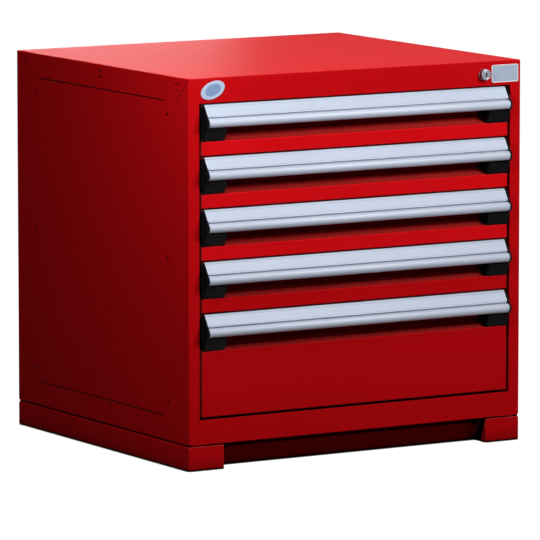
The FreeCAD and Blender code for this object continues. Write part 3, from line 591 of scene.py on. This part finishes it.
def extrusion_tree():
    """Draws flat sections out along the x axis into closed bars."""
    if "Extruded Section" in bpy.data.node_groups:
        return bpy.data.node_groups["Extruded Section"]
    tree, given, result = geometry_tree("Extruded Section", [("Length", "Float", 0.5),
                                                             ("Material", "Material", None)])
    along = wire(tree, "ShaderNodeCombineXYZ", {"X": given.outputs["Length"]})
    drawn = wire(tree, "GeometryNodeExtrudeMesh", {
        "Mesh": given.outputs["Geometry"], "Offset": along.outputs[0], "Offset Scale": 1.0,
        "Individual": False})
    turned_back = wire(tree, "GeometryNodeFlipFaces", {"Mesh": drawn.outputs["Mesh"]})
    both = wire(tree, "GeometryNodeJoinGeometry")
    tree.links.new(given.outputs["Geometry"], both.inputs[0])
    tree.links.new(turned_back.outputs["Mesh"], both.inputs[0])
    welded = wire(tree, "GeometryNodeMergeByDistance", {"Geometry": both.outputs["Geometry"],
                                                        "Distance": 0.001 * MM})
    return close_tree(tree, given, result, welded.outputs["Geometry"])


def rivet_tree():
    """Puts a blind rivet's head, a low dome with a hollow middle, on every vertex."""
    if "Rivets" in bpy.data.node_groups:
        return bpy.data.node_groups["Rivets"]
    tree, given, result = geometry_tree("Rivets", [
        ("Radius", "Float", 4 * MM), ("Height", "Float", 1 * MM), ("Turn", "Rotation", None),
        ("Material", "Material", None)])
    crown = wire(tree, "ShaderNodeMath", {0: given.outputs["Radius"], 1: 0.62}, operation="MULTIPLY")
    head = wire(tree, "GeometryNodeMeshCone", {
        "Vertices": 20, "Radius Bottom": given.outputs["Radius"], "Radius Top": crown.outputs[0],
        "Depth": given.outputs["Height"]})
    rim = wire(tree, "GeometryNodeExtrudeMesh", {
        "Mesh": head.outputs["Mesh"], "Selection": head.outputs["Top"], "Offset Scale": 0.0,
        "Individual": False})
    mouth = wire(tree, "GeometryNodeScaleElements", {"Geometry": rim.outputs["Mesh"],
                                                     "Selection": rim.outputs["Top"], "Scale": 0.55})
    depth = wire(tree, "ShaderNodeMath", {0: given.outputs["Height"], 1: -0.7}, operation="MULTIPLY")
    hollow = wire(tree, "GeometryNodeExtrudeMesh", {"Mesh": mouth.outputs["Geometry"],
                                                    "Selection": rim.outputs["Top"],
                                                    "Offset Scale": depth.outputs[0], "Individual": False})
    rivets = wire(tree, "GeometryNodeInstanceOnPoints", {"Points": given.outputs["Geometry"],
                                                         "Instance": hollow.outputs["Mesh"],
                                                         "Rotation": given.outputs["Turn"]})
    return close_tree(tree, given, result, rivets.outputs["Instances"])


# Handles

def bent_outline(path, wall, steps=7):
    """Closed outline of a strip of even thickness along a path of (y, z, bend radius)."""
    points = [Vector(corner[:2]) for corner in path]
    left, right = [], []

    def add(point, normal):
        left.append(point + normal * wall / 2)
        right.append(point - normal * wall / 2)

    def side(direction):
        return Vector((-direction.y, direction.x))

    for index, (y, z, bend) in enumerate(path):
        here = points[index]
        if index == 0:
            add(here, side((points[1] - here).normalized()))
            continue
        before = (here - points[index - 1]).normalized()
        if index == len(path) - 1:
            add(here, side(before))
            continue
        after = (points[index + 1] - here).normalized()
        turn = math.atan2(before.cross(after), before.dot(after))
        start = here - before * bend * math.tan(abs(turn) / 2)
        to_centre = side(before) * math.copysign(bend, turn)
        count = max(2, round(steps * abs(turn)))
        for k in range(count + 1):
            spin = Matrix.Rotation(turn * k / count, 2)
            add(start + to_centre - spin @ to_centre, spin @ side(before))
    return left + right[::-1]


# Sizes of the handle, in millimetres
SLOPE_RUN, SLOPE_FALL = 13.5, 22.0      # how far the slope comes forward and down
SLOPE_LENGTH = 25.4                     # of the label frame, along the slope
FRAME_SIDE = 2.8                        # width of the label frame's lips and ends


def slope_point(top, along, out):
    """Point of the handle's slope, along it from its upper edge and out from the label frame."""
    run, fall = Vector((SLOPE_RUN, SLOPE_FALL)).normalized()
    return Vector((1.5 - run * along - fall * out, top - 1.0 - fall * along + run * out))


def handle_outlines(top):
    """Outlines of the extruded handle: its bent wall and the two lips that hold the label."""
    wall, lip = 1.6, 0.8
    depth = -lip - wall / 2
    head, foot = slope_point(top, 0.0, depth), slope_point(top, SLOPE_LENGTH - 0.6, depth)
    leg = top - wall / 2
    corner = head.x + (leg - head.y) * SLOPE_RUN / SLOPE_FALL
    bulb_y, bulb_z, radius, groove = -11.0, top - 34.5, 9.0 - wall / 2, -6.6
    path = [(13.0, leg, 0), (corner, leg, 1.2), (*foot, 0.9), (groove, foot.y - 1.4, 0.9),
            (groove, bulb_z + radius, 0.9), (bulb_y - radius, bulb_z + radius, radius - 0.01),
            (bulb_y - radius, bulb_z - radius, radius - 0.01), (groove + 0.7, bulb_z - radius, 0)]
    outlines = [bent_outline(path, wall)]
    for first, last in ((0.3, FRAME_SIDE), (SLOPE_LENGTH - FRAME_SIDE, SLOPE_LENGTH)):
        lips = [(first, -1.0), (first, -0.25), (first + 0.25, 0.0), (last - 0.25, 0.0), (last, -0.25),
                (last, -1.0)]
        outlines.append([slope_point(top, along, out) for along, out in lips])
    return outlines


def metres(outline):
    """Outline in metres from one in millimetres behind the front plane and above the floor."""
    return [placed(*point) for point in outline]


class CABINET_OT_handles(bpy.types.Operator):
    """Extrude the aluminium handles with their label frames"""

    bl_idname = "cabinet.handles"
    bl_label = "Handles"

    def execute(self, context):
        for number in DRAWERS:
            node = "drawer_%d_handle" % number
            low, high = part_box(node)
            top = high.z / MM
            bars = grown(outline_mesh("section", [metres(o) for o in handle_outlines(top)], low.x),
                         extrusion_tree(), Length=high.x - low.x, Material=material_for("aluminium"))
            # The label frame's ends take the lighter aluminium, a painted highlight.
            frame_end = [slope_point(top, along, out) for along, out in
                         ((0.3, -1.0), (0.3, 0.0), (SLOPE_LENGTH, 0.0), (SLOPE_LENGTH, -1.0))]
            side = FRAME_SIDE * MM
            ends = [grown(outline_mesh("end", [metres(frame_end)], x), extrusion_tree(), Length=side,
                          Material=material_for("aluminium_painted_highlight")) for x in (low.x, high.x - side)]
            mesh = rounded(joined(node, [bars, *ends]), 0.2 * MM, angle=50)
            piece("handle_%d" % number, mesh, BODY_OF[node], "aluminium", [node])
        return {"FINISHED"}


class CABINET_OT_end_caps(bpy.types.Operator):
    """Round the edges of the moulded end caps"""

    bl_idname = "cabinet.end_caps"
    bl_label = "End caps"

    def execute(self, context):
        width = context.scene.cabinet_trim.edge_round
        for number in DRAWERS:
            node = "drawer_%d_end_caps" % number
            mesh = rounded(packed_copy(node), width, segments=3, angle=40)
            piece("end_caps_%d" % number, mesh, BODY_OF[node], "black_plastic", [node])
        return {"FINISHED"}


class CABINET_OT_lock(bpy.types.Operator):
    """Turn the lock's head and fit its plug"""

    bl_idname = "cabinet.lock"
    bl_label = "Lock"

    def execute(self, context):
        face, back = (corner.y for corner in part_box("lock_housing"))
        centre = middle_of("lock_plug")[0]
        profile = []
        for radius, y in ((7.5, 1.0), (7.5, 0.55), (8.2, 0.1), (8.6, 0.0), (9.6, 0.0), (10.4, 0.35),
                          (10.8, 0.9), (11.0, 1.8)):
            profile.append((radius * MM, face + y * MM))
        for radius, y in ((11.0, -0.9), (11.3, -0.7), (11.3, 0.0), (9.5, 0.0), (9.5, 1.6), (13.5, 1.6),
                          (13.5, 5.4), (9.5, 5.6)):
            profile.append((radius * MM, FRONT + y * MM))
        profile += [(9.5 * MM, back), (7.5 * MM, back)]
        piece("lock_head", turned("lock_head", profile, centre), BODY_OF["lock_housing"], "lock_chrome",
              ["lock_housing"])
        piece("lock_cylinder", rounded(packed_copy("lock_plug"), 0.25 * MM, angle=50), BODY_OF["lock_plug"],
              "lock_chrome", ["lock_plug"])
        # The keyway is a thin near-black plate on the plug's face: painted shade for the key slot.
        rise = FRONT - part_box("lock_plug")[0].y
        slot = rounded_rectangle(1.4 * MM, 3.9 * MM, 1.3 * MM)
        layers = [(slot, rise - 0.2 * MM), (slot, rise + 0.08 * MM)]
        piece("keyway", layered_plate("keyway", layers, (centre[0] + 0.3 * MM, centre[1]), len(layers)),
              BODY_OF["lock_plug"], "lock_chrome", materials=[material_for("keyway_painted_shade")])
        return {"FINISHED"}


# Plates

def oval(width, height, tilt, sides=72):
    """Points of an oval about the origin, turned by `tilt` in its own plane."""
    spin = Matrix.Rotation(tilt, 2)
    return [spin @ Vector((width * math.cos(math.tau * k / sides), height * math.sin(math.tau * k / sides)))
            for k in range(sides)]


def rounded_rectangle(width, height, radius, steps=8):
    """Points of a rectangle with round corners about the origin; width and height are halves."""
    points = []
    for corner, (sx, sz) in enumerate(((1, 1), (-1, 1), (-1, -1), (1, -1))):
        for k in range(steps + 1):
            angle = math.radians(90) * (corner + k / steps)
            points.append(Vector((sx * (width - radius) + radius * math.cos(angle),
                                  sz * (height - radius) + radius * math.sin(angle))))
    return points


def layered_plate(name, layers, centre, field_from):
    """Closed plate on the front frame from rings of points, each with its height; faces from `field_from` on
    take the second material."""
    shape = bmesh.new()
    rings = [[shape.verts.new((centre[0] + point.x, FRONT - height, centre[1] + point.y)) for point in points]
             for points, height in layers]
    shape.faces.new(rings[0])
    for index, (a, b) in enumerate(zip(rings, rings[1:]), 1):
        for k in range(len(a)):
            after = (k + 1) % len(a)
            shape.faces.new((a[k], a[after], b[after], b[k])).material_index = int(index >= field_from)
    shape.faces.new(rings[-1]).material_index = 1
    bmesh.ops.recalc_face_normals(shape, faces=shape.faces)
    return smooth(mesh_of(name, shape), 30)


def middle_of(node):
    """Middle (x, z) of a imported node's box, half its width and half its height."""
    low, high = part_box(node)
    return ((low.x + high.x) / 2, (low.z + high.z) / 2), (high.x - low.x) / 2, (high.z - low.z) / 2


class CABINET_OT_plates(bpy.types.Operator):
    """Make the bare oval plate and the bare label plate of the top rail"""

    bl_idname = "cabinet.plates"
    bl_label = "Plates"

    def execute(self, context):
        centre = middle_of("badge_plate")[0]
        width, height, tilt = 27.5 * MM, 16.5 * MM, math.radians(20)
        layers = [(oval(width - edge * MM, height - edge * MM, tilt), rise * MM) for edge, rise in
                  ((0.0, 0.0), (0.0, 1.1), (0.25, 1.4), (0.6, 1.5), (1.3, 1.5))]
        layers += [(oval(width * share, height * share, tilt), (1.5 + lift) * MM) for share, lift in
                   ((0.72, 0.12), (0.66, 0.05), (0.4, 0.16), (0.1, 0.2))]
        piece("badge_oval", layered_plate("badge_oval", layers, centre, 7), BODY_OF["badge_plate"], "badge",
              ["badge_plate"], [material_for("badge"), material_for("badge_field")])
        centre, width, height = middle_of("label_plate")
        layers = [(rounded_rectangle(width - edge * MM, height - edge * MM, (3.5 - edge) * MM), rise * MM)
                  for edge, rise in
                  ((0.0, 0.0), (0.0, 0.45), (0.15, 0.6), (1.5, 0.6), (1.7, 0.52), (2.2, 0.52))]
        piece("label_card", layered_plate("label_card", layers, centre, 5), BODY_OF["label_plate"],
              "label_card", ["label_plate"], [material_for("label_border"), material_for("label_field")])
        return {"FINISHED"}


# Painted shadow over the seams and holes of the sides

def seam_bar(start, end, width):
    """Outline of a straight line between two (y, z) points, in millimetres."""
    (y0, z0), (y1, z1) = start, end
    reach = width / 2 / math.hypot(y1 - y0, z1 - z0)
    y, z = (z0 - z1) * reach, (y1 - y0) * reach
    return [(y0 - y, z0 - z), (y1 - y, z1 - z), (y1 + y, z1 + z), (y0 + y, z0 + z)]


def seam_spot(y, z, radius, sides=16):
    """Outline of a round hole, in millimetres."""
    return [(y + radius * math.cos(math.tau * k / sides), z + radius * math.sin(math.tau * k / sides))
            for k in range(sides)]


SEAM_PROUD = 0.1 * MM
# In millimetres: heights of a pair's holes about its middle, heights of the gap over the base, and
# depths, sides and rise of the bars of painted shadow that darken that gap
HOLE_PAIR = (-3.8, 3.8)
SKIRT_TOP, HOUSING_BOTTOM = 47.5, 50.8
GAP_SHADOW_BARS = (
    (4, 682, -377, -371, 0), (4, 682, 371, 377, 0), (676, 682, -377, 377, 0), (4, 10, -377, -340, 0),
    (4, 10, 340, 377, 0), (2, 30, -379, -375, 6), (2, 30, 375, 379, 6), (2, 6, -379, -350, 6),
    (2, 6, 350, 379, 6), (655, 683.8, -379, -375, 6), (655, 683.8, 375, 379, 6))


class CABINET_OT_side_seams(bpy.types.Operator):
    """Lay thin plates of painted shadow over the slits, mitres, knockouts and holes of both sides, and bars
    of painted shadow in the gap over the base
    """

    bl_idname = "cabinet.side_seams"
    bl_label = "Painted seam shadows"

    def execute(self, context):
        lines = [seam_bar((92, z), (597, z), 2.6) for z in (713.6, 99.1)]
        lines.append(seam_bar((1.5, 757.6), (44.5, 714.0), 1.5))
        for y in (45, 344, 647):
            lines += [seam_bar((y - 8, z), (y + 8, z), 2.2) for z in (737, 749)]
        for y in (80, 609):
            lines += [seam_spot(y, z, 3.6) for z in (127, 407, 687)]
            lines += [seam_spot(y, z + rise, 2.0) for z in (74.4, 738) for rise in HOLE_PAIR]
        for y in (307, 383.5):
            lines += [seam_spot(y, 88.5 + 50.8 * row + rise, 1.9) for row in range(5) for rise in HOLE_PAIR]
        shadow = material_for("painted_seam_shadow")
        bars = [grown(outline_mesh("seams", [metres(line) for line in lines], corner.x - SEAM_PROUD),
                      extrusion_tree(), Length=2 * SEAM_PROUD, Material=shadow)
                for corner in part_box("top_panel")]
        gap_shadow_fills = []
        for y0, y1, x0, x1, rise in GAP_SHADOW_BARS:
            low, high = SKIRT_TOP + 0.05, HOUSING_BOTTOM + rise - 0.05
            outline = [(y0, low), (y1, low), (y1, high), (y0, high)]
            gap_shadow_fills.append(grown(outline_mesh("gap", [metres(outline)], x0 * MM), extrusion_tree(),
                               Length=(x1 - x0) * MM, Material=shadow))
        for name, meshes in (("painted_gap_shadow", gap_shadow_fills), ("painted_seam_shadows", bars)):
            piece(name, joined(name, meshes), BODY_OF["top_panel"], "red_powder_coat")
        return {"FINISHED"}


# Rivets

RIVET_WALL = 339.6 * MM                     # distance of the trays' inner walls from the middle
RIVET_DEPTHS = (70, 200, 335, 470, 600)     # of the rivets behind the front plane, in millimetres


def rivet_row(points, turn, trim):
    """Rivet heads on the given points, their axis turned by the given angle about the y axis."""
    spots = bpy.data.meshes.new("points")
    spots.from_pydata(points, [], [])
    return smooth(grown(spots, rivet_tree(), Radius=trim.rivet_radius, Height=trim.rivet_height,
                        Turn=(0.0, turn, 0.0), Material=material_for("zinc_steel")), 40)


class CABINET_OT_rivets(bpy.types.Operator):
    """Rivet the rails to the drawers"""

    bl_idname = "cabinet.rivets"
    bl_label = "Rivets"

    def execute(self, context):
        quarter = math.radians(90)
        for number in DRAWERS:
            low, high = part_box("drawer_%d_rails" % number)
            rows = []
            for wall, turn in ((-RIVET_WALL, quarter), (RIVET_WALL, -quarter)):
                places = [(wall, FRONT + y * MM, (low.z + high.z) / 2) for y in RIVET_DEPTHS]
                rows.append(rivet_row(places, turn, context.scene.cabinet_trim))
            name = "rail_rivets_%d" % number
            piece(name, joined(name, rows), "drawer_%d" % number, "zinc_steel")
        return {"FINISHED"}


# Stage

def look_matrix(eye, right, up):
    """Matrix of a camera at `eye` with the given right and up directions."""
    right, up = Vector(right).normalized(), Vector(up).normalized()
    back = right.cross(up)
    return Matrix.Translation(eye) @ Matrix((right, up, back)).transposed().to_4x4()


def area_lamp(name, eye, target, size, power):
    """Round lamp at `eye` that points at `target`."""
    lamp = bpy.data.lights.new(name, "AREA")
    lamp.shape = "DISK"
    lamp.size = size
    lamp.energy = power
    holder = bpy.data.objects.new(name, lamp)
    direction = Vector(target) - Vector(eye)
    holder.matrix_world = Matrix.Translation(eye) @ direction.to_track_quat("-Z", "Y").to_matrix().to_4x4()
    bpy.context.scene.collection.objects.link(holder)


def background_rays(tree):
    """Light Path sum that is 1 where the background is seen, directly or in metal or glass."""
    rays = wire(tree, "ShaderNodeLightPath")
    total = wire(tree, "ShaderNodeMath", {
        0: rays.outputs["Is Camera Ray"], 1: rays.outputs["Is Glossy Ray"]}, operation="MAXIMUM")
    return wire(tree, "ShaderNodeMath", {0: total.outputs[0], 1: rays.outputs["Is Transmission Ray"]},
                operation="MAXIMUM").outputs[0]


def floor_material(shade):
    """White to the eye up to a thin dark line of painted shadow round the cabinet, and painted shadow under
    it.
    """
    inset, toe_inset = 3 * MM, 25 * MM
    low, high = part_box("base_left_skirt")[0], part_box("base_right_skirt")[1]
    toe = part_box("base_toe_panel")[0].y
    painted_shadow_box = (("X", low.x + inset, high.x - inset), ("Y", toe + toe_inset, high.y - inset))
    material = bpy.data.materials.new("studio_floor")
    material.use_nodes = True
    tree = material.node_tree
    tree.nodes.clear()
    open_sky = wire(tree, "ShaderNodeAmbientOcclusion", {"Distance": 0.012}, samples=12)
    glow = wire(tree, "ShaderNodeMapRange", {
        "Value": open_sky.outputs["AO"], "From Min": 0.5, "From Max": 0.8},
        interpolation_type="SMOOTHSTEP")
    place = object_place(tree)
    under = [wire(tree, "ShaderNodeMath", {0: place[axis], 1: (a + b) / 2, 2: (b - a) / 2},
                  operation="COMPARE").outputs[0] for axis, a, b in painted_shadow_box]
    hidden = wire(tree, "ShaderNodeMath", {0: under[0], 1: under[1]}, operation="MULTIPLY")
    clear = wire(tree, "ShaderNodeMath", {0: 1.0, 1: hidden.outputs[0]}, operation="SUBTRACT")
    lit = wire(tree, "ShaderNodeMath", {0: glow.outputs["Result"], 1: clear.outputs[0]}, operation="MULTIPLY")
    seen = wire(tree, "ShaderNodeMath", {0: lit.outputs[0], 1: background_rays(tree)}, operation="MULTIPLY")
    shader = wire(tree, "ShaderNodeBsdfPrincipled", {
        "Base Color": (shade, shade, shade, 1.0), "Roughness": 0.9, "Specular IOR Level": 0.0,
        "Emission Color": (1.0, 1.0, 1.0, 1.0), "Emission Strength": seen.outputs[0]})
    output = wire(tree, "ShaderNodeOutputMaterial")
    tree.links.new(shader.outputs["BSDF"], output.inputs["Surface"])
    return material


def studio_world(ambient):
    """World that looks white and lights the cabinet with the given strength."""
    world = bpy.data.worlds.new("studio")
    world.use_nodes = True
    tree = world.node_tree
    tree.nodes.clear()
    level = wire(tree, "ShaderNodeMapRange", {"Value": background_rays(tree), "To Min": ambient})
    light = wire(tree, "ShaderNodeBackground", {
        "Color": (1.0, 1.0, 1.0, 1.0), "Strength": level.outputs["Result"]})
    output = wire(tree, "ShaderNodeOutputWorld")
    tree.links.new(light.outputs["Background"], output.inputs["Surface"])
    bpy.context.scene.world = world


class CABINET_OT_stage(bpy.types.Operator):
    """Set the floor, the lamps, the world and the camera"""

    bl_idname = "cabinet.stage"
    bl_label = "Studio stage"

    def execute(self, context):
        stage = context.scene.cabinet_stage
        mesh = bpy.data.meshes.new("floor")
        reach = 60.0        # half the floor's side, in metres
        mesh.from_pydata([(-reach, -reach, 0), (reach, -reach, 0), (reach, reach, 0), (-reach, reach, 0)],
                         [], [(0, 1, 2, 3)])
        floor = bpy.data.objects.new("floor", mesh)
        mesh.materials.append(floor_material(stage.floor_shade))
        context.scene.collection.objects.link(floor)
        studio_world(stage.ambient)
        area_lamp("front_lamp", (0.9, -1.7, 1.6), (0.0, 0.0, 0.4), 0.8, stage.front_power)
        area_lamp("side_lamp", (-0.95, -0.9, 1.3), (0.0, 0.0, 0.4), 0.45, stage.side_power)
        area_lamp("top_lamp", (0.0, 0.4, 2.5), (0.0, 0.4, 0.0), 1.0, stage.top_power)
        area_lamp("back_lamp", (0.9, 2.6, 0.9), (0.0, 0.35, 0.4), 1.0, stage.back_power)
        lens = bpy.data.cameras.new("camera")
        lens.sensor_width = 36.0
        lens.lens = stage.lens
        lens.clip_start, lens.clip_end = 0.1, 500.0
        camera = bpy.data.objects.new("camera", lens)
        camera.matrix_world = look_matrix((-5.90299, -9.80314, 1.85804), (0.85661578, -0.51595485, 0.0),
                                          (0.06831402, 0.11341858, 0.99119595))
        context.scene.collection.objects.link(camera)
        context.scene.camera = camera
        context.scene.view_settings.view_transform = "Standard"
        return {"FINISHED"}


class CABINET_OT_sheet_steel(bpy.types.Operator):
    """Powder-coat the sheet steel of the housing, the base and the drawers"""

    bl_idname = "cabinet.sheet_steel"
    bl_label = "Sheet steel"

    def execute(self, context):
        finish_slots("red_powder_coat")
        for number in DRAWERS:
            # Drawers 1 to 3 get a brighter painted face than drawers 4 and 5.
            finish_node("drawer_%d_front" % number, "red_front_painted_light" if number <= 3 else "red_front_painted_shade")
        # The base's parts take the painted contact shadow at the floor.
        for node in ("base_left_skirt", "base_right_skirt", "base_rear_panel"):
            finish_node(node, "red_base")
        finish_node("base_toe_panel", "red_toe_panel")
        return {"FINISHED"}


class CABINET_OT_metalwork(bpy.types.Operator):
    """Finish the handles, slides, fasteners, lock and plates"""

    bl_idname = "cabinet.metalwork"
    bl_label = "Metalwork"

    def execute(self, context):
        finish_slots("aluminium", "zinc_steel", "lock_chrome", "roller_nylon", "black_plastic", "label_card",
                     "badge")
        return {"FINISHED"}


class CABINET_PT_panel(bpy.types.Panel):
    """Cabinet tools in the 3D view's sidebar"""

    bl_idname = "CABINET_PT_panel"
    bl_label = "Drawer cabinet"
    bl_space_type = "VIEW_3D"
    bl_region_type = "UI"
    bl_category = "Cabinet"

    def draw(self, context):
        for operator in OPERATORS:
            self.layout.operator(operator.bl_idname)
        for group in (context.scene.cabinet_colours, context.scene.cabinet_trim, context.scene.cabinet_stage):
            for name in group.__annotations__:
                self.layout.prop(group, name)


GROUPS = (CabinetColours, CabinetTrim, CabinetStage)
OPERATORS = (CABINET_OT_stage, CABINET_OT_sheet_steel, CABINET_OT_metalwork, CABINET_OT_handles,
             CABINET_OT_end_caps, CABINET_OT_lock, CABINET_OT_plates, CABINET_OT_side_seams,
             CABINET_OT_rivets)


def register():
    for kind in (*GROUPS, *OPERATORS, CABINET_PT_panel):
        bpy.utils.register_class(kind)
    bpy.types.Scene.cabinet_colours = bpy.props.PointerProperty(type=CabinetColours)
    bpy.types.Scene.cabinet_trim = bpy.props.PointerProperty(type=CabinetTrim)
    bpy.types.Scene.cabinet_stage = bpy.props.PointerProperty(type=CabinetStage)


def unregister():
    del bpy.types.Scene.cabinet_colours
    del bpy.types.Scene.cabinet_trim
    del bpy.types.Scene.cabinet_stage
    for kind in reversed((*GROUPS, *OPERATORS, CABINET_PT_panel)):
        bpy.utils.unregister_class(kind)


def main():
    register()
    for operator in OPERATORS:
        getattr(bpy.ops.cabinet, operator.bl_idname.split(".")[1])()


if __name__ == "__main__":
    main()
